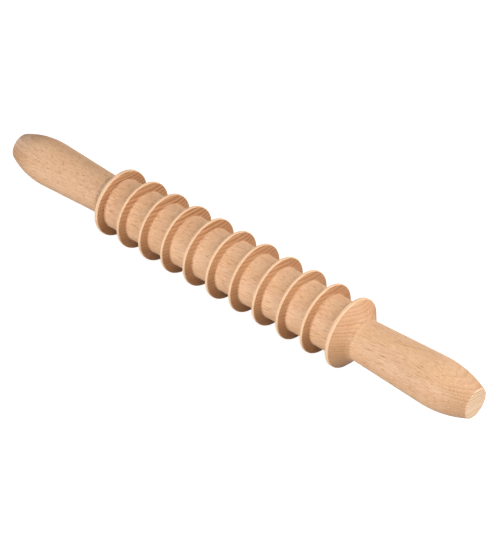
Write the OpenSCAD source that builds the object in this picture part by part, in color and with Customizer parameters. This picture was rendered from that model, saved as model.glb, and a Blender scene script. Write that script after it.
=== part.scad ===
// Foot massage roller: a ringed wooden drum that spins on a steel axle between two turned handles.
// The roller lies along X with its origin at the middle of the drum, and Z is up.
// The rings stand proud of the guards, so the roller runs on the rings alone.

/* [Massage drum] */
// Diameter over the massage rings
ring_d = 49.5; // [46:0.5:60]
// Number of massage rings
ring_count = 9; // [5:1:13]
// Distance from one ring to the next
ring_pitch = 20.6; // [16:0.1:26]
// Thickness of each ring at its rim
ring_t = 2; // [2:0.1:5]
// Slope of the rings' sides, which thicken towards the drum
ring_taper = 9; // [0:1:12]
// Rounding of the two edges of each ring
ring_round = 0.5; // [0.3:0.1:0.9]
// Diameter of the drum between the rings
drum_d = 36.6; // [32:0.2:40]
// Fillet where each ring meets the drum
ring_fillet = 1; // [0.5:0.1:1.8]
// Open gap between each end of the drum and the guard beside it
drum_gap = 0.3; // [0.3:0.1:1]

/* [Handles] */
// How far the guards' rims stand below the rings
guard_drop = 0.1; // [0.1:0.1:1]
// Thickness of each guard's rim, up to where its flare starts
guard_t = 2.6; // [2.4:0.1:5]
// Rounding of the guards' edges
guard_round = 0.9; // [0.3:0.1:1.1]
// Slope of the flare, measured from the axis
flare_angle = 50; // [40:1:55]
// Radius that blends the flare into the neck
neck_blend = 6; // [4:0.5:9]
// Diameter of the neck, the thinnest place of the grip
neck_d = 29; // [27:0.1:32]
// Diameter of the grip at its widest place
grip_d = 33.7; // [32.5:0.1:38]
// Length of the handle behind the guard
handle_l = 98.4; // [85:0.1:120]
// Distance from the widest place of the grip to its end
crown_l = 30; // [20:1:32]
// Radius of the long curve that rounds the grip down to its end
crown_r = 72; // [60:1:100]
// Small bevel at the edge of the end face
end_bevel = 0.6; // [0.2:0.1:1.5]

/* [Axle and bearings] */
// Diameter of the axle where the drum turns
axle_d = 10; // [9:0.5:10]
// Diameter of the axle's threaded ends
thread_d = 8; // [6:0.5:8]
// Length of each threaded end
thread_l = 18; // [12:1:19]
// Radial clearance between the axle and the bushes
running_clearance = 0.05; // [0.02:0.01:0.1]
// Outside diameter of the bushes
bush_d = 16; // [14:0.5:18]
// Length of each bush behind its flange
bush_l = 12; // [8:1:20]
// Diameter of the flange on each bush
flange_d = 21; // [20:0.5:24]
// Thickness of the flange on each bush
flange_t = 1.5; // [1:0.1:2.5]
// Play between each bush flange and its thrust washer
end_play = 0.2; // [0.1:0.05:0.25]
// Outside diameter of the thrust washers
washer_d = 20; // [18:0.5:22]
// Thickness of the thrust washers
washer_t = 1.2; // [0.8:0.1:2]
// Outside diameter of the threaded inserts
insert_d = 14; // [12:0.5:15]
// Length of the threaded inserts
insert_l = 20; // [20:1:25]

/* [Hidden] */

// Facets of a full turn, and steps along each rounded stretch of an outline
turn_fn = 128;
arc_steps = 5;
crown_steps = 12;
// How far a cutting body runs past the face that it cuts
past = 1;

ring_r = ring_d / 2;
drum_r = drum_d / 2;
guard_r = ring_r - guard_drop;
neck_r = neck_d / 2;
grip_r = grip_d / 2;
axle_r = axle_d / 2;
thread_r = thread_d / 2;
bush_r = bush_d / 2;
flange_r = flange_d / 2;
washer_r = washer_d / 2;
insert_r = insert_d / 2;

// The straight stretch of a ring's sloping side, and how far from its middle the edge and root arcs are centred
ring_side = (ring_r - drum_r - (ring_round + ring_fillet) * (1 - sin(ring_taper))) / cos(ring_taper);
ring_edge_x = ring_t / 2 - ring_round;
ring_root_x = ring_edge_x + (ring_round + ring_fillet) * cos(ring_taper) + ring_side * sin(ring_taper);

// The guards stand about one pitch from the outermost rings, with their faces set a little towards them
guard_setback = 1;
guard_face_x = (ring_count + 1) * ring_pitch / 2 - guard_setback;
guard_back_x = guard_face_x + guard_t;
end_x = guard_back_x + handle_l;
drum_end_x = guard_face_x - drum_gap;

// The drum's ends flare a little towards the guards, as the ring roots do, and finish in a narrow lip
end_flare_angle = 60;
end_lip = 0.4;
end_lip_r = drum_r + ring_fillet * (1 - cos(end_flare_angle));
end_flare_x = drum_end_x - end_lip - ring_fillet * sin(end_flare_angle);

// Radial room around the axle inside the drum and inside the washers, and around flanges and washers
drum_bore_room = 1;
washer_bore_room = 0.2;
recess_room = 0.3;
drum_bore_r = axle_r + drum_bore_room;
washer_bore_r = axle_r + washer_bore_room;

// Faces along the axis, outwards from the middle of the drum
flange_face_x = guard_face_x - end_play;
flange_back_x = flange_face_x - flange_t;
shoulder_x = guard_face_x + washer_t;
insert_end_x = shoulder_x + insert_l;
// The insert's hole in the handle runs on past it, clear of the axle's tip
insert_bore_room = 3;
insert_bore_end_x = insert_end_x + insert_bore_room;
thread_bevel = 1;

// The rim's back edge runs tangent into the flare, the flare into the neck blend, and the grip into the crown
rim_round_x = guard_back_x - guard_round * tan(flare_angle / 2);
flare_run = (guard_r - neck_r - neck_blend * (1 - cos(flare_angle))) / sin(flare_angle);
neck_center = [
    guard_back_x + flare_run * cos(flare_angle) + neck_blend * sin(flare_angle),
    neck_r + neck_blend
];
crown_center = [end_x - crown_l, grip_r - crown_r];
center_line = crown_center - neck_center;
grip_taper = atan2(center_line[1], center_line[0]) + asin((neck_blend + crown_r) / norm(center_line));
crown_end_angle = acos((crown_l - end_bevel) / crown_r);
end_face_r = crown_center[1] + crown_r * sin(crown_end_angle) - end_bevel;

// Points of an arc, from one angle to another, as [distance along the axis, radius]
function arc(center, radius, from, to, steps = arc_steps) = [
    for (i = [0:steps])
        let (angle = from + (to - from) * i / steps)
            center + radius * [cos(angle), sin(angle)]
];

// Turns [distance along the axis, radius] points into an outline for revolving
function turned(points) = [for (p = points) [p[1], p[0]]];

// Distance of ring i from the middle of the drum
function ring_x(i) = (i - (ring_count - 1) / 2) * ring_pitch;

// One ring with its root fillets, sloping sides and rounded edges, at distance x along the axis
function ring_outline(x) = concat(
    arc([x - ring_root_x, drum_r + ring_fillet], ring_fillet, 270, 360 - ring_taper),
    arc([x - ring_edge_x, ring_r - ring_round], ring_round, 180 - ring_taper, 90),
    arc([x + ring_edge_x, ring_r - ring_round], ring_round, 90, ring_taper),
    arc([x + ring_root_x, drum_r + ring_fillet], ring_fillet, 180 + ring_taper, 270)
);

drum_outline = concat(
    [[-drum_end_x, 0], [-drum_end_x, end_lip_r]],
    arc([-end_flare_x, drum_r + ring_fillet], ring_fillet, 270 - end_flare_angle, 270),
    [for (i = [0:ring_count - 1]) each ring_outline(ring_x(i))],
    arc([end_flare_x, drum_r + ring_fillet], ring_fillet, 270, 270 + end_flare_angle),
    [[drum_end_x, end_lip_r], [drum_end_x, 0]]
);

handle_outline = concat(
    [[guard_face_x, 0]],
    arc([guard_face_x + guard_round, guard_r - guard_round], guard_round, 180, 90),
    arc([rim_round_x, guard_r - guard_round], guard_round, 90, 90 - flare_angle),
    arc(neck_center, neck_blend, 270 - flare_angle, 270 + grip_taper),
    arc(crown_center, crown_r, 90 + grip_taper, crown_end_angle, crown_steps),
    [[end_x, end_face_r], [end_x, 0]]
);

// Lays a body that was made along Z along X
module along_x() {
    rotate([0, 90, 0])
        children();
}

// A solid of revolution about X from [distance along the axis, radius] points
module turning(points) {
    along_x()
        rotate_extrude($fn = turn_fn)
            polygon(turned(points));
}

// A cylinder about X, from one distance along the axis to another
module rod(from, to, radius) {
    translate([from, 0, 0])
        along_x()
            cylinder(h = to - from, r = radius, $fn = turn_fn);
}

// The seat of one bush at the drum's right end: its barrel and its flange
module bush_seat() {
    rod(flange_back_x - bush_l, drum_end_x + past, bush_r);
    rod(flange_back_x, drum_end_x + past, flange_r + recess_room);
}

module massage_drum() {
    color("burlywood")
        difference() {
            turning(drum_outline);
            rod(-drum_end_x - past, drum_end_x + past, drum_bore_r);
            bush_seat();
            mirror([1, 0, 0])
                bush_seat();
        }
}

// The handle on the right, with a blind bore for its insert and a recess for its washer
module handle() {
    difference() {
        turning(handle_outline);
        rod(guard_face_x - past, shoulder_x, washer_r + recess_room);
        rod(guard_face_x - past, insert_bore_end_x, insert_r);
    }
}

module right_handle() {
    color("tan")
        handle();
}

module left_handle() {
    color("tan")
        mirror([1, 0, 0])
            handle();
}

// One end of the axle from the middle outwards: the bearing length, its shoulder and the thread
half_axle_outline = [
    [0, 0],
    [0, axle_r],
    [shoulder_x, axle_r],
    [shoulder_x, thread_r],
    [shoulder_x + thread_l - thread_bevel, thread_r],
    [shoulder_x + thread_l, thread_r - thread_bevel],
    [shoulder_x + thread_l, 0]
];

module axle_rod() {
    color("silver")
        union() {
            turning(half_axle_outline);
            mirror([1, 0, 0])
                turning(half_axle_outline);
        }
}

// The flanged bush on the right, which the axle runs in
module bush() {
    difference() {
        union() {
            rod(flange_back_x - bush_l, flange_face_x, bush_r);
            rod(flange_back_x, flange_face_x, flange_r);
        }
        rod(flange_back_x - bush_l - past, flange_face_x + past, axle_r + running_clearance);
    }
}

module right_bush() {
    color("ivory")
        bush();
}

module left_bush() {
    color("ivory")
        mirror([1, 0, 0])
            bush();
}

module thrust_washer() {
    difference() {
        rod(guard_face_x, shoulder_x, washer_r);
        rod(guard_face_x - past, shoulder_x + past, washer_bore_r);
    }
}

module right_thrust_washer() {
    color("lightsteelblue")
        thrust_washer();
}

module left_thrust_washer() {
    color("lightsteelblue")
        mirror([1, 0, 0])
            thrust_washer();
}

// The insert that is fixed in the right handle and takes the axle's thread
module threaded_insert() {
    difference() {
        rod(shoulder_x, insert_end_x, insert_r);
        rod(shoulder_x - past, insert_end_x + past, thread_r);
    }
}

module right_threaded_insert() {
    color("goldenrod")
        threaded_insert();
}

module left_threaded_insert() {
    color("goldenrod")
        mirror([1, 0, 0])
            threaded_insert();
}

massage_drum();
left_handle();
right_handle();
axle_rod();
left_bush();
right_bush();
left_thrust_washer();
right_thrust_washer();
left_threaded_insert();
right_threaded_insert();
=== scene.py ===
import math

import bmesh
import bpy
import numpy as np
from mathutils import Matrix, Vector


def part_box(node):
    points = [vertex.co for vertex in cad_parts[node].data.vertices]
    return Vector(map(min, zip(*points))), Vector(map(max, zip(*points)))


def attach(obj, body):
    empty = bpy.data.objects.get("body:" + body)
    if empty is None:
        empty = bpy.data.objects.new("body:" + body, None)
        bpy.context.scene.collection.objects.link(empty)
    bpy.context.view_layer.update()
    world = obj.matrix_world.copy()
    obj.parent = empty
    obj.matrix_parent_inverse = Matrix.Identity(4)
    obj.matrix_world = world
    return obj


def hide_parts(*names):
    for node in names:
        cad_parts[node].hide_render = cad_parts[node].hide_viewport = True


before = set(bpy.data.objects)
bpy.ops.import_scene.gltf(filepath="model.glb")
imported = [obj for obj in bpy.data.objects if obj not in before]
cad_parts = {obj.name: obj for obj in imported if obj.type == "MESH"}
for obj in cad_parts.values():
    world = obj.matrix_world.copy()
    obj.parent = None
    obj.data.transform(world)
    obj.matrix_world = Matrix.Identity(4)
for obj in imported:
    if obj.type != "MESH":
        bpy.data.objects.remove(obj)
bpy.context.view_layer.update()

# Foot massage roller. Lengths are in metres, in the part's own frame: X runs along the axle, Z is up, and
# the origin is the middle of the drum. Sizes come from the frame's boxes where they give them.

MM = 0.001

# ---- sizes -------------------------------------------------------------------------------------------

# Ends and radii that the frame's boxes give
DRUM_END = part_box("massage_drum")[1].x
RING_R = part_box("massage_drum")[1].z
GUARD_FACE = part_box("right_handle")[0].x
HANDLE_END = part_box("right_handle")[1].x
GUARD_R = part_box("right_handle")[1].z
AXLE_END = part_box("axle_rod")[1].x
AXLE_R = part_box("axle_rod")[1].z
BUSH_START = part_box("right_bush")[0].x
BUSH_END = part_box("right_bush")[1].x
FLANGE_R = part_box("right_bush")[1].z
WASHER_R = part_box("right_thrust_washer")[1].z
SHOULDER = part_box("right_threaded_insert")[0].x
INSERT_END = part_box("right_threaded_insert")[1].x
INSERT_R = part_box("right_threaded_insert")[1].z

# The drum and its rings. A ring's sides slope, so that it thickens towards the drum. Angles are in degrees
RING_COUNT = 9
RING_PITCH = 20.6 * MM
RING_THICKNESS = 2.0 * MM
RING_TAPER = 9
RING_ROUND = 0.5 * MM
RING_FILLET = 1.0 * MM
DRUM_R = 18.3 * MM
END_LIP = 0.4 * MM
END_FLARE_ANGLE = 60

# The handles: guard, flare, neck, grip, and the crown that rounds the grip down to its flat end
GUARD_THICKNESS = 2.6 * MM
GUARD_ROUND = 0.9 * MM
FLARE_ANGLE = 50
NECK_BLEND = 6.0 * MM
NECK_R = 14.5 * MM
GRIP_R = 16.85 * MM
CROWN_LENGTH = 30.0 * MM
CROWN_R = 72.0 * MM
END_ROUND = 0.6 * MM
END_ROUND_START = 60

# Bores, seats and threads
DRUM_BORE_R = AXLE_R + 1.0 * MM
BUSH_BORE_R = AXLE_R + 0.05 * MM
BUSH_R = 8.0 * MM
FLANGE_THICKNESS = 1.5 * MM
WASHER_BORE_R = AXLE_R + 0.2 * MM
RECESS_ROOM = 0.3 * MM
INSERT_HOLE_ROOM = 3.0 * MM
THREAD_R = 4.0 * MM
THREAD_PITCH = 1.25 * MM
THREAD_DEPTH = 0.65 * MM
THREAD_STEP = THREAD_PITCH / 10
THREAD_ROOM = 0.03 * MM
WOOD_THREAD_PITCH = 3.0 * MM
WOOD_THREAD_DEPTH = 0.9 * MM
WOOD_THREAD_STEP = WOOD_THREAD_PITCH / 16
# Share of a thread's depth that its flat crest and its flat root each cut off the V
THREAD_FLAT = 0.075
SHOULDER_BEVEL = 0.2 * MM
TIP_BEVEL = 1.0 * MM
TIP_RUN_OUT = 0.5 * MM
INSERT_LEAD = 1.5 * MM

# Faces around a turned mesh, and the longest straight stretch of a wooden outline
WOOD_SEGMENTS = 288
METAL_SEGMENTS = 96
WOOD_STEP = 2.0 * MM
# Distances below this count as none
TINY = 1e-6


# ---- turned meshes -----------------------------------------------------------------------------------

def arc(x, r, radius, start, stop, steps=8):
    """Points of an arc about (x, r), from one angle to another in degrees, as (distance along X, radius)."""
    angles = [math.radians(start + (stop - start) * i / steps) for i in range(steps + 1)]
    return [(x + radius * math.cos(a), r + radius * math.sin(a)) for a in angles]


def stretch(start, stop, step):
    """Points along a straight stretch, about one step apart, without its ends."""
    length = math.dist(start, stop)
    count = max(1, round(length / step))
    return [
        tuple(a + (b - a) * i / count for a, b in zip(start, stop))
        for i in range(1, count)
    ]


def filled(outline, step):
    """The outline with extra points along its long straight stretches."""
    points = [outline[0]]
    for point in outline[1:]:
        points += stretch(points[-1], point, step) + [point]
    return points


def mirrored(outline):
    return [(-x, r) for x, r in outline]


def turned(name, outline, segments, closed=False, relief=None):
    """A piece turned about X from (distance along X, radius) points.
    A closed outline gives a ring-shaped body. relief(x, r, angle) changes the radius from place to place."""
    angles = np.arange(segments) * 2 * math.pi / segments
    verts, rows = [], []
    for x, r in outline:
        if r < TINY:
            rows.append([len(verts)] * segments)
            verts.append((x, 0.0, 0.0))
            continue
        radius = r + (relief(x, r, angles) if relief else 0.0) * np.ones(segments)
        rows.append(list(range(len(verts), len(verts) + segments)))
        verts += list(zip([x] * segments, -radius * np.sin(angles), radius * np.cos(angles)))
    pairs = list(zip(rows, rows[1:])) + ([(rows[-1], rows[0])] if closed else [])
    faces = []
    for a, b in pairs:
        for i in range(segments):
            j = (i + 1) % segments
            corners = [a[i], a[j], b[j], b[i]]
            faces.append([c for k, c in enumerate(corners) if c != corners[k - 1]])
    mesh = bpy.data.meshes.new(name)
    mesh.from_pydata(verts, [], faces)
    soften(mesh)
    piece = bpy.data.objects.new(name, mesh)
    bpy.context.scene.collection.objects.link(piece)
    return piece


def soften(mesh, crease=math.radians(32)):
    """Smooth shading, with normals outwards and sharp edges only where faces meet at a crease."""
    edit = bmesh.new()
    edit.from_mesh(mesh)
    bmesh.ops.recalc_face_normals(edit, faces=edit.faces)
    for face in edit.faces:
        face.smooth = True
    for edge in edit.edges:
        edge.smooth = len(edge.link_faces) == 2 and edge.calc_face_angle() < crease
    edit.to_mesh(mesh)
    edit.free()


# ---- wooden pieces -----------------------------------------------------------------------------------

def ring_outline(x):
    """One ring at distance x along the drum, with its root fillets, sloping sides and rounded edges."""
    slope = math.radians(RING_TAPER)
    rounds = RING_ROUND + RING_FILLET
    side = (RING_R - DRUM_R - rounds * (1 - math.sin(slope))) / math.cos(slope)
    edge_x = RING_THICKNESS / 2 - RING_ROUND
    root_x = edge_x + rounds * math.cos(slope) + side * math.sin(slope)
    edge_r, root_r = RING_R - RING_ROUND, DRUM_R + RING_FILLET
    return (
        arc(x - root_x, root_r, RING_FILLET, 270, 360 - RING_TAPER)
        + arc(x - edge_x, edge_r, RING_ROUND, 180 - RING_TAPER, 90)
        + arc(x + edge_x, edge_r, RING_ROUND, 90, RING_TAPER)
        + arc(x + root_x, root_r, RING_FILLET, 180 + RING_TAPER, 270)
    )


def drum_outline():
    """The drum's section: its outside from left to right, then its bore with a bush seat at each end."""
    flare_x = DRUM_END - END_LIP - RING_FILLET * math.sin(math.radians(END_FLARE_ANGLE))
    flare = arc(flare_x, DRUM_R + RING_FILLET, RING_FILLET, 270, 270 + END_FLARE_ANGLE)
    flare += [(DRUM_END, flare[-1][1])]
    outside = mirrored(flare)[::-1]
    for i in range(RING_COUNT):
        outside += ring_outline((i - (RING_COUNT - 1) / 2) * RING_PITCH)
    outside += flare
    flange_back = BUSH_END - FLANGE_THICKNESS
    seat = [
        (DRUM_END, FLANGE_R + RECESS_ROOM),
        (flange_back, FLANGE_R + RECESS_ROOM),
        (flange_back, BUSH_R),
        (BUSH_START, BUSH_R),
        (BUSH_START, DRUM_BORE_R),
    ]
    return filled(outside + seat + mirrored(seat)[::-1], WOOD_STEP)


def handle_outline():
    """The right handle's section, from the bottom of its blind hole out over the guard to the end face."""
    flare = math.radians(FLARE_ANGLE)
    guard_back = GUARD_FACE + GUARD_THICKNESS
    rim_x = guard_back - GUARD_ROUND * math.tan(flare / 2)
    rim_r = GUARD_R - GUARD_ROUND
    drop = GUARD_R - NECK_R - NECK_BLEND * (1 - math.cos(flare))
    neck_x = guard_back + drop / math.tan(flare) + NECK_BLEND * math.sin(flare)
    neck_r = NECK_R + NECK_BLEND
    crown_x = HANDLE_END - CROWN_LENGTH
    crown_r = GRIP_R - CROWN_R
    along, down = crown_x - neck_x, crown_r - neck_r
    taper = math.atan2(down, along) + math.asin((NECK_BLEND + CROWN_R) / math.hypot(along, down))
    taper = math.degrees(taper)
    end_angle = math.acos((CROWN_LENGTH - END_ROUND) / CROWN_R)
    end_r = crown_r + CROWN_R * math.sin(end_angle) - END_ROUND
    hole_end = INSERT_END + INSERT_HOLE_ROOM
    hole = [
        (hole_end, 0.0),
        (hole_end, INSERT_R),
        (SHOULDER, INSERT_R),
        (SHOULDER, WASHER_R + RECESS_ROOM),
        (GUARD_FACE, WASHER_R + RECESS_ROOM),
    ]
    outside = (
        arc(GUARD_FACE + GUARD_ROUND, rim_r, GUARD_ROUND, 180, 90)
        + arc(rim_x, rim_r, GUARD_ROUND, 90, 90 - FLARE_ANGLE)
        + arc(neck_x, neck_r, NECK_BLEND, 270 - FLARE_ANGLE, 270 + taper, steps=12)
        + arc(crown_x, crown_r, CROWN_R, 90 + taper, math.degrees(end_angle), steps=20)
        + arc(HANDLE_END - END_ROUND, end_r, END_ROUND, END_ROUND_START, 0, steps=5)
        + [(HANDLE_END, 0.0)]
    )
    return filled(hole + outside, WOOD_STEP)


# ---- metal and nylon pieces --------------------------------------------------------------------------

def thread(x, angle, pitch, depth):
    """Depth below the crest at each angle, for a right-hand V thread along X with a flat crest and root."""
    phase = np.mod(x / pitch - angle / (2 * math.pi), 1.0)
    flank = np.abs(2 * phase - 1)
    return depth * np.clip((1 + 2 * THREAD_FLAT) * flank - THREAD_FLAT, 0.0, 1.0)


def axle_outline():
    """The axle's section: its bearing length between two shoulders and a thread on each stepped end."""
    thread_end = (AXLE_END - TIP_BEVEL, THREAD_R)
    half = [
        (0.0, AXLE_R),
        (SHOULDER - SHOULDER_BEVEL, AXLE_R),
        (SHOULDER, AXLE_R - SHOULDER_BEVEL),
        (SHOULDER, THREAD_R),
    ]
    half += stretch(half[-1], thread_end, THREAD_STEP)
    half += [thread_end, (AXLE_END, THREAD_R - TIP_BEVEL), (AXLE_END, 0.0)]
    return mirrored(half)[::-1] + half[1:]


def axle_relief(x, r, angle):
    """Cuts the thread into the axle's stepped ends, from a shallow first turn to the bevel of the tip."""
    if r > THREAD_R + TINY or abs(x) < SHOULDER:
        return 0.0
    run_in = np.clip((abs(x) - SHOULDER) / THREAD_PITCH, 0.0, 1.0)
    run_out = np.clip((AXLE_END - TIP_BEVEL - abs(x)) / TIP_RUN_OUT, 0.0, 1.0)
    return -thread(x, angle, THREAD_PITCH, THREAD_DEPTH) * run_in * run_out


def bush_outline():
    """The right bush's section: a barrel with a flange, its edges broken."""
    edge = 0.3 * MM
    flange_back = BUSH_END - FLANGE_THICKNESS
    return [
        (BUSH_START, BUSH_BORE_R + edge),
        (BUSH_START, BUSH_R - edge),
        (BUSH_START + edge, BUSH_R),
        (flange_back, BUSH_R),
        (flange_back, FLANGE_R - edge),
        (flange_back + edge, FLANGE_R),
        (BUSH_END - edge, FLANGE_R),
        (BUSH_END, FLANGE_R - edge),
        (BUSH_END, BUSH_BORE_R + edge),
        (BUSH_END - edge, BUSH_BORE_R),
        (BUSH_START + edge, BUSH_BORE_R),
    ]


def washer_outline():
    """The right thrust washer's section, with the rounded edge that stamping leaves."""
    edge = 0.25 * MM
    return [
        *arc(GUARD_FACE + edge, WASHER_R - edge, edge, 180, 90, 4),
        (SHOULDER, WASHER_R),
        (SHOULDER, WASHER_BORE_R),
        *arc(GUARD_FACE + edge, WASHER_BORE_R + edge, edge, 270, 180, 4),
    ]


def insert_outline():
    """The right insert's section, with points close enough together to carry both of its threads."""
    edge = 0.4 * MM
    outside = [(SHOULDER + edge, INSERT_R), (INSERT_END - INSERT_LEAD, INSERT_R)]
    inside = [(INSERT_END - edge, THREAD_R), (SHOULDER + edge, THREAD_R)]
    return [
        (SHOULDER, INSERT_R - edge),
        outside[0],
        *stretch(*outside, WOOD_THREAD_STEP),
        outside[1],
        (INSERT_END, INSERT_R - INSERT_LEAD),
        (INSERT_END, THREAD_R + edge),
        inside[0],
        *stretch(*inside, THREAD_STEP),
        inside[1],
        (SHOULDER, THREAD_R + edge),
    ]


def insert_relief(x, r, angle):
    """Cuts a coarse thread outside the insert and leaves the axle's thread standing inside it."""
    if abs(r - INSERT_R) < TINY:
        run = np.clip((abs(x) - SHOULDER) / WOOD_THREAD_PITCH, 0.0, 1.0)
        return -thread(x, angle, WOOD_THREAD_PITCH, WOOD_THREAD_DEPTH) * run
    if abs(r - THREAD_R) < TINY:
        run = np.clip((abs(x) - SHOULDER) / THREAD_PITCH, 0.0, 1.0)
        return THREAD_ROOM - thread(x, angle, THREAD_PITCH, THREAD_DEPTH) * run
    return 0.0


# ---- material helpers --------------------------------------------------------------------------------

class Shader:
    """Builds one procedural material, node by node."""

    def __init__(self, name):
        self.material = bpy.data.materials.new(name)
        self.material.use_nodes = True
        self.tree = self.material.node_tree
        self.surface = self.tree.nodes["Principled BSDF"]
        coordinates = self.node("ShaderNodeTexCoord")
        self.position = coordinates.outputs["Object"]
        self.facing = coordinates.outputs["Normal"]

    def node(self, kind, inputs=None, **settings):
        """Adds a node. inputs gives a value or an output for each input, by name or by number."""
        made = self.tree.nodes.new(kind)
        for key, value in settings.items():
            setattr(made, key, value)
        for key, value in (inputs or {}).items():
            self.feed(made.inputs[key], value)
        return made

    def feed(self, socket, value):
        if isinstance(value, bpy.types.NodeSocket):
            self.tree.links.new(value, socket)
        else:
            socket.default_value = value

    def constant(self, name, value):
        """Sets one of the surface's own sockets to a value that is the same all over."""
        self.surface.inputs[name].default_value = value

    def math(self, operation, *values):
        inputs = dict(enumerate(values))
        return self.node("ShaderNodeMath", inputs, operation=operation).outputs[0]

    def plus(self, first, *others):
        for other in others:
            first = self.math("ADD", first, other)
        return first

    def times(self, first, *others):
        for other in others:
            first = self.math("MULTIPLY", first, other)
        return first

    def split(self, vector):
        return self.node("ShaderNodeSeparateXYZ", {0: vector}).outputs

    def scaled(self, vector, factors):
        made = self.node("ShaderNodeVectorMath", {0: vector, 1: factors}, operation="MULTIPLY")
        return made.outputs[0]

    def noise(self, vector, size, detail=2.0, roughness=0.5):
        """Soft noise whose patches measure size along each direction of the vector."""
        shrunk = self.scaled(vector, tuple(1 / n for n in size))
        inputs = {"Vector": shrunk, "Scale": 1.0, "Detail": detail, "Roughness": roughness}
        return self.node("ShaderNodeTexNoise", inputs).outputs["Fac"]

    def rise(self, value, low, high, smooth=True, bottom=0.0, top=1.0):
        """Goes from bottom to top as value goes from low to high."""
        inputs = {"Value": value, 1: low, 2: high, 3: bottom, 4: top}
        kind = "SMOOTHSTEP" if smooth else "LINEAR"
        return self.node("ShaderNodeMapRange", inputs, interpolation_type=kind).outputs[0]

    def ramp(self, value, bottom, top):
        """Goes straight from bottom to top as value goes from 0 to 1."""
        return self.rise(value, 0.0, 1.0, False, bottom, top)

    def mix(self, share, first, second, blend="MIX"):
        made = self.node("ShaderNodeMix", data_type="RGBA", blend_type=blend)
        # Of the node's many inputs, these are the share and the two colours
        for number, value in zip((0, 6, 7), (share, first, second)):
            self.feed(made.inputs[number], value)
        return made.outputs[2]

    def finish(self, color, roughness, height=None, depth=0.0):
        self.feed(self.surface.inputs["Base Color"], color)
        self.feed(self.surface.inputs["Roughness"], roughness)
        if height is not None:
            bump = self.node("ShaderNodeBump", {"Strength": 1.0, "Distance": depth, "Height": height})
            self.feed(self.surface.inputs["Normal"], bump.outputs[0])
        return self.material


# ---- beech -------------------------------------------------------------------------------------------

# The grain's direction: a tilt about X, a slow twist about X along the roller, and a rise towards one end
GRAIN_TILT = math.radians(8)
GRAIN_TWIST = math.radians(2.4) / (100 * MM)
GRAIN_RISE = math.radians(6)

# Growth layers, in millimetres. They crowd together away from the pith, and are stronger on one side,
# towards the top and back. Their fading towards the lower front is partly painted shade
DRUM_LAYERS = 2.65
HANDLE_LAYERS = 2.3
LAYER_CROWDING = 0.0015
LAYER_UNEVENNESS = 0.6
UNEVENNESS_RATE = 0.2
PITH_DISTANCE = 250.0
STRONG_SIDE = (0, math.sin(math.radians(50)), math.cos(math.radians(50)))
STRONG_SIDE_REACH = 22.0
WANDER = 4.0
RIPPLE = 0.7

# Sizes of the figures in the wood, in millimetres: along the grain, across the rays, across the layers
WANDER_SIZE = (80, 30, 30)
RIPPLE_SIZE = (16, 5, 5)
BREAK_SIZE = (6, 0.8, 0.8)
DASH_SIZE = (13.0, 0.66, 0.8)
FLECK_SIZE = (3.5, 0.5, 0.6)
STREAK_SIZE = (10, 0.8, 0.8)
FIBRE_SIZE = (6, 0.65, 0.65)
DRIFT_SIZE = (45, 11, 11)
BLUSH_SIZE = (60, 17, 9)

BEECH_PALE = (0.90, 0.585, 0.36, 1)
BEECH_WARM = (0.86, 0.53, 0.305, 1)
BEECH_PINK = (0.84, 0.505, 0.31, 1)
# The handle's flat end: partly the end grain's own paler colour, partly painted light, lighter than the
# rings' faces that face the same way
END_FACE_PALE_AND_LIT = (1.0, 0.76, 0.52, 1)
# Painted highlight along the rings' rims
RIM_HIGHLIGHT = (1.0, 0.67, 0.42, 1)
LATE_WOOD = (0.52, 0.23, 0.09, 1)
RAY_BROWN = (0.44, 0.15, 0.04, 1)
CUT_GRAIN_TINT = (0.82, 0.785, 0.745, 1)
# Darkens end grain: partly its own darker colour, partly painted shade on the rings' faces between the rings
# and on the flares
END_GRAIN_AND_SHADE_TINT = (0.86, 0.77, 0.66, 1)


def grain_position(wood):
    """The place in the wood, in millimetres: along the grain, across the rays, across the growth layers."""
    along = wood.split(wood.position)[0]
    twist = wood.plus(GRAIN_TILT, wood.times(along, GRAIN_TWIST))
    about_x = {"Vector": wood.position, "Angle": twist}
    twisted = wood.node("ShaderNodeVectorRotate", about_x, rotation_type="X_AXIS").outputs[0]
    about_y = {"Vector": twisted, "Rotation": (0, GRAIN_RISE, 0), "Scale": (1 / MM,) * 3}
    return wood.node("ShaderNodeMapping", about_y).outputs[0]


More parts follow.
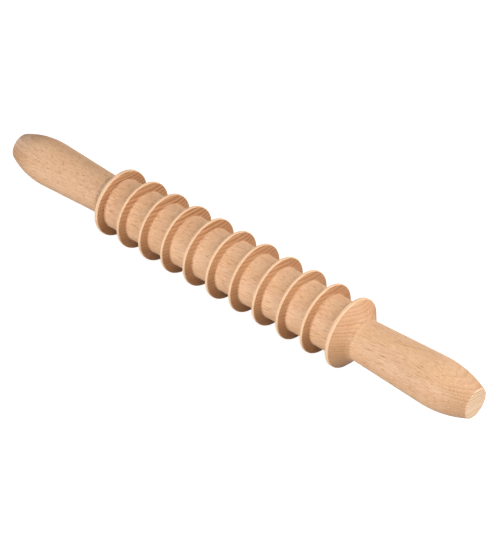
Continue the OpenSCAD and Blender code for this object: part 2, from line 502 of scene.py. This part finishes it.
def growth_layers(wood, grain, spacing):
    """The late wood of each growth layer, and its sharp outer edge. The distance from the far-off pith,
    bent a little, is cut into layers of uneven width and strength."""
    part = wood.split(grain)
    height = wood.math("SUBTRACT", PITH_DISTANCE, part[2])
    squares = wood.plus(wood.times(height, height), wood.times(part[1], part[1]))
    from_pith = wood.math("SQRT", squares)
    wander = wood.times(wood.noise(grain, WANDER_SIZE, detail=1.0), WANDER)
    ripple = wood.times(wood.noise(grain, RIPPLE_SIZE), RIPPLE)
    bent = wood.plus(from_pith, wander, ripple)
    slow = {"W": wood.times(bent, UNEVENNESS_RATE), "Scale": 1.0}
    uneven = wood.node("ShaderNodeTexNoise", slow, noise_dimensions="1D").outputs["Fac"]
    beyond = wood.math("SUBTRACT", bent, PITH_DISTANCE)
    crowding = wood.plus(1 / spacing, wood.times(beyond, LAYER_CROWDING))
    layers = wood.plus(wood.times(beyond, crowding), wood.times(uneven, LAYER_UNEVENNESS))

    which = {"W": wood.math("FLOOR", layers)}
    chance = wood.node("ShaderNodeTexWhiteNoise", which, noise_dimensions="1D").outputs["Value"]
    # Partly uneven wood, partly painted shade: the layers grow fainter towards the lower front, where the
    # roller lies in shade
    sides = {0: grain, 1: STRONG_SIDE}
    side = wood.node("ShaderNodeVectorMath", sides, operation="DOT_PRODUCT").outputs["Value"]
    side_strength = wood.rise(side, -STRONG_SIDE_REACH, STRONG_SIDE_REACH, False, 0.42, 1.0)
    strength = wood.times(wood.ramp(chance, 0.4, 1.0), side_strength)

    within = wood.math("FRACT", layers)
    late = wood.times(wood.rise(within, 0.15, 0.8), wood.rise(within, 1.0, 0.9), strength)
    edge = wood.times(wood.rise(within, 0.74, 0.88), wood.rise(within, 1.0, 0.95), strength)
    broken = wood.noise(grain, BREAK_SIZE, roughness=0.6)
    return late, wood.times(edge, wood.rise(broken, 0.38, 0.56, bottom=0.2))


def rays(wood, grain, size, thin, thick, share):
    """Short dashes along the grain. share says how many of the possible ones are there."""
    cells = {"Vector": wood.scaled(grain, tuple(1 / n for n in size)), "Scale": 1.0, "Randomness": 1.0}
    cell = wood.node("ShaderNodeTexVoronoi", cells)
    chance = wood.node("ShaderNodeSeparateColor", {0: cell.outputs["Color"]}).outputs[0]
    chosen = wood.rise(chance, 1 - share, 1 - share + 0.2)
    return wood.times(wood.rise(cell.outputs["Distance"], thick, thin), chosen)


def beech(name, spacing, end_face=None):
    """Turned beech. Where it is cut across the grain, it is darker and shows its growth layers more; on the
    rings' faces and the flares that darkening is partly painted shade.
    The rings' rims carry a painted highlight, and a handle's flat end at end_face is paler, partly as
    painted light."""
    wood = Shader(name)
    grain = grain_position(wood)
    late, edge = growth_layers(wood, grain, spacing)
    dashes = rays(wood, grain, DASH_SIZE, 0.1, 0.3, 0.8)
    flecks = rays(wood, grain, FLECK_SIZE, 0.14, 0.42, 0.9)
    streaks = wood.noise(grain, STREAK_SIZE, detail=3.0, roughness=0.65)
    fibres = wood.noise(grain, FIBRE_SIZE, roughness=0.6)
    drift = wood.noise(grain, DRIFT_SIZE)
    blush = wood.noise(grain, BLUSH_SIZE, detail=1.0)

    # How far the surface is cut across the grain, and how nearly it lies flat along the layers
    facing = wood.split(wood.facing)
    across = wood.math("ABSOLUTE", facing[0])
    opened = wood.rise(across, 0.02, 0.4)
    end_grain = wood.rise(across, 0.6, 1.0)
    flat = wood.rise(wood.math("ABSOLUTE", facing[2]), 0.8, 1.0)
    edge = wood.times(edge, wood.ramp(flat, 1.0, 0.15))

    # Where the flat end face and the rings' rims are: the end face's paler colour is partly painted light,
    # and the rims carry a painted highlight
    on_end = 0.0
    if end_face is not None:
        along = wood.math("ABSOLUTE", wood.split(wood.position)[0])
        on_end = wood.rise(along, end_face - 0.6 * MM, end_face - 0.2 * MM)
    radial = {0: wood.scaled(wood.position, (0, 1, 1))}
    from_axis = wood.node("ShaderNodeVectorMath", radial, operation="LENGTH").outputs["Value"]
    on_rim_highlight = wood.rise(from_axis, RING_R - 0.6 * MM, RING_R - 0.25 * MM)
    on_side = wood.math("SUBTRACT", 1.0, on_end)

    color = wood.mix(wood.rise(drift, 0.3, 0.7), BEECH_PALE, BEECH_WARM)
    color = wood.mix(wood.rise(blush, 0.45, 0.75, top=0.5), color, BEECH_PINK)
    # The flat end face's paler colour, partly painted light
    color = wood.mix(wood.times(on_end, 0.9), color, END_FACE_PALE_AND_LIT)
    color = wood.mix(wood.rise(streaks, 0.4, 0.7, top=0.15), color, LATE_WOOD)
    color = wood.mix(wood.rise(fibres, 0.42, 0.68, top=0.3), color, LATE_WOOD)
    shown = wood.plus(wood.ramp(opened, 0.05, 0.56), wood.rise(across, 0.65, 1.0, top=0.36))
    color = wood.mix(wood.times(late, shown, wood.ramp(on_end, 1.0, 1.25)), color, LATE_WOOD)
    color = wood.mix(wood.times(edge, wood.ramp(opened, 0.26, 0.95)), color, RAY_BROWN)
    color = wood.mix(wood.times(flecks, 0.3), color, RAY_BROWN)
    color = wood.mix(wood.times(dashes, wood.ramp(end_grain, 0.85, 0.3)), color, RAY_BROWN)
    color = wood.mix(wood.times(opened, on_side), color, CUT_GRAIN_TINT, "MULTIPLY")
    # Painted shade, partly end grain's own darker colour: the rings' faces and the flares darken where they
    # face along the axle
    color = wood.mix(wood.times(end_grain, on_side), color, END_GRAIN_AND_SHADE_TINT, "MULTIPLY")
    # Painted highlight: a paler band along the rings' rims
    color = wood.mix(wood.times(on_rim_highlight, 0.75), color, RIM_HIGHLIGHT)

    rough = wood.rise(streaks, 0.3, 0.8, False, 0.5, 0.62)
    relief = wood.math("SUBTRACT", wood.times(fibres, 0.5), wood.times(dashes, 0.3))
    wood.constant("Specular IOR Level", 0.45)
    wood.constant("Sheen Weight", 0.18)
    wood.constant("Sheen Roughness", 0.4)
    return wood.finish(color, rough, relief, 0.04 * MM)


# ---- metals and nylon --------------------------------------------------------------------------------

def turned_metal(name, dull, bright, roughness):
    """Metal turned about X: fine rings of tool marks and slow stains."""
    metal = Shader(name)
    marks = metal.noise(metal.position, (MM / 9, 20 * MM, 20 * MM), detail=3.0)
    stains = metal.noise(metal.position, (4 * MM,) * 3, detail=3.0)
    color = metal.mix(metal.rise(stains, 0.35, 0.7), bright, dull)
    color = metal.mix(metal.rise(marks, 0.4, 0.8, top=0.25), color, dull)
    metal.constant("Metallic", 1.0)
    rough = metal.rise(marks, 0.2, 0.8, False, roughness - 0.06, roughness + 0.1)
    return metal.finish(color, rough, marks, 0.01 * MM)


def nylon(name):
    """Off-white machined nylon: a little light passes into it, and it has faint turning marks."""
    plastic = Shader(name)
    marks = plastic.noise(plastic.position, (MM / 5, 25 * MM, 25 * MM))
    cloud = plastic.noise(plastic.position, (5 * MM,) * 3)
    color = plastic.mix(plastic.rise(cloud, 0.3, 0.7), (0.84, 0.82, 0.76, 1), (0.76, 0.73, 0.66, 1))
    plastic.constant("Subsurface Weight", 0.15)
    plastic.constant("Subsurface Radius", (1.2 * MM, 1.0 * MM, 0.8 * MM))
    return plastic.finish(color, plastic.rise(marks, 0.2, 0.8, False, 0.42, 0.55), marks, 0.01 * MM)


# ---- the object --------------------------------------------------------------------------------------

def place(piece, material, body, node):
    """Gives a piece its material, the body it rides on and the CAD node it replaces."""
    piece.data.materials.append(material)
    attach(piece, body)
    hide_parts(node)


def build_object():
    drum_beech = beech("drum_beech", DRUM_LAYERS)
    handle_beech = beech("handle_beech", HANDLE_LAYERS, HANDLE_END)
    steel = turned_metal("axle_steel", (0.42, 0.42, 0.43, 1), (0.66, 0.66, 0.67, 1), 0.3)
    washer_steel = turned_metal("washer_steel", (0.40, 0.41, 0.43, 1), (0.60, 0.61, 0.63, 1), 0.36)
    brass = turned_metal("insert_brass", (0.55, 0.36, 0.13, 1), (0.80, 0.58, 0.26, 1), 0.3)
    bush_nylon = nylon("bush_nylon")

    drum = turned("drum_turning", drum_outline(), WOOD_SEGMENTS, closed=True)
    place(drum, drum_beech, "drum", "massage_drum")
    axle = turned("axle_turning", axle_outline(), METAL_SEGMENTS, relief=axle_relief)
    place(axle, steel, "frame", "axle_rod")

    # Outlines are drawn for the right side, and the left side's are their mirror images
    for side, same_side in (("left", mirrored), ("right", list)):
        handle = turned(f"{side}_handle_turning", same_side(handle_outline()), WOOD_SEGMENTS)
        place(handle, handle_beech, "frame", f"{side}_handle")
        outline = same_side(bush_outline())
        bush = turned(f"{side}_bush_turning", outline, METAL_SEGMENTS, closed=True)
        place(bush, bush_nylon, "drum", f"{side}_bush")
        outline = same_side(washer_outline())
        washer = turned(f"{side}_washer_stamping", outline, METAL_SEGMENTS, closed=True)
        place(washer, washer_steel, "frame", f"{side}_thrust_washer")
        outline = same_side(insert_outline())
        insert = turned(f"{side}_insert_turning", outline, METAL_SEGMENTS, closed=True, relief=insert_relief)
        place(insert, brass, "frame", f"{side}_threaded_insert")


# ---- camera, floor and light -------------------------------------------------------------------------

VIEW_AZIMUTH = math.radians(41.95)
VIEW_ELEVATION = math.radians(39.09)
CAMERA_DISTANCE = 1.2917
LENS = 126.8
FILM_WIDTH = 36.0
AIM_RIGHT = 12.6 * MM
AIM_DOWN = 6.7 * MM


def add_camera():
    """The camera looks down on the roller from in front, on its right handle's side."""
    back = Vector((
        math.sin(VIEW_AZIMUTH) * math.cos(VIEW_ELEVATION),
        -math.cos(VIEW_AZIMUTH) * math.cos(VIEW_ELEVATION),
        math.sin(VIEW_ELEVATION),
    ))
    turn = back.to_track_quat("Z", "Y").to_matrix()
    aim = turn @ Vector((AIM_RIGHT, -AIM_DOWN, 0))
    camera = bpy.data.objects.new("camera", bpy.data.cameras.new("camera"))
    camera.data.lens = LENS
    camera.data.sensor_width = FILM_WIDTH
    camera.data.clip_end = 20.0
    camera.matrix_world = Matrix.Translation(aim + back * CAMERA_DISTANCE) @ turn.to_4x4()
    bpy.context.scene.collection.objects.link(camera)
    bpy.context.scene.camera = camera


def lit_for_camera(tree, seen, unseen):
    """A strength that the camera sees, and another that reaches everything else."""
    strength = tree.nodes.new("ShaderNodeMix")
    strength.inputs[2].default_value = unseen
    strength.inputs[3].default_value = seen
    path = tree.nodes.new("ShaderNodeLightPath")
    tree.links.new(path.outputs["Is Camera Ray"], strength.inputs[0])
    return strength.outputs[0]


FLOOR_REACH = 8.0


def add_floor():
    """A plain pale floor that the rings stand on. It looks nearly white, but little light bounces off it."""
    mesh = bpy.data.meshes.new("floor")
    sides = ((-1, -1), (1, -1), (1, 1), (-1, 1))
    corners = [(x * FLOOR_REACH, y * FLOOR_REACH, -RING_R) for x, y in sides]
    mesh.from_pydata(corners, [], [(0, 1, 2, 3)])
    floor = bpy.data.objects.new("floor", mesh)
    bpy.context.scene.collection.objects.link(floor)
    paper = Shader("pale_floor")
    tone = paper.rise(paper.noise(paper.position, (1 / 3,) * 3), 0.3, 0.7)
    color = paper.mix(tone, (0.3, 0.3, 0.3, 1), (0.28, 0.28, 0.28, 1))
    paper.constant("Specular IOR Level", 0.0)
    paper.constant("Emission Color", (1, 1, 1, 1))
    paper.feed(paper.surface.inputs["Emission Strength"], lit_for_camera(paper.tree, 0.93, 0.0))
    floor.data.materials.append(paper.finish(color, 0.9))


LIGHT_DISTANCE = 1.25


def add_softbox(name, azimuth, elevation, width, height, power):
    """A softbox that faces the roller, at an azimuth from -Y towards +X and an elevation, both in degrees.
    Its width and height are in metres, and its power in watts."""
    light = bpy.data.lights.new(name, "AREA")
    light.shape = "RECTANGLE"
    light.size = width
    light.size_y = height
    light.energy = power
    lamp = bpy.data.objects.new(name, light)
    turn, tip = math.radians(azimuth), math.radians(elevation)
    away = Vector((math.sin(turn) * math.cos(tip), -math.cos(turn) * math.cos(tip), math.sin(tip)))
    lamp.location = away * LIGHT_DISTANCE
    lamp.rotation_euler = away.to_track_quat("Z", "Y").to_euler()
    bpy.context.scene.collection.objects.link(lamp)


def add_light():
    """Softboxes in a dim room: low ones in front and at both ends, two higher ones behind on the right."""
    world = bpy.data.worlds.new("white_room")
    world.use_nodes = True
    room = world.node_tree.nodes["Background"]
    room.inputs[0].default_value = (1, 1, 1, 1)
    world.node_tree.links.new(lit_for_camera(world.node_tree, 1.0, 0.02), room.inputs[1])
    bpy.context.scene.world = world
    add_softbox("front", -4, 9, 0.7, 0.34, 12.2)
    add_softbox("right_front", 62, 8, 0.6, 0.3, 3.0)
    add_softbox("left_end", -90, 4, 0.4, 0.3, 5.0)
    add_softbox("right_end", 98, 12, 0.7, 0.4, 2.9)
    add_softbox("back_right", 135, 30, 0.7, 0.6, 6.4)
    add_softbox("back_right_high", 125, 56, 0.8, 0.8, 10.2)
    bpy.context.scene.view_settings.view_transform = "Standard"


build_object()
add_camera()
add_floor()
add_light()
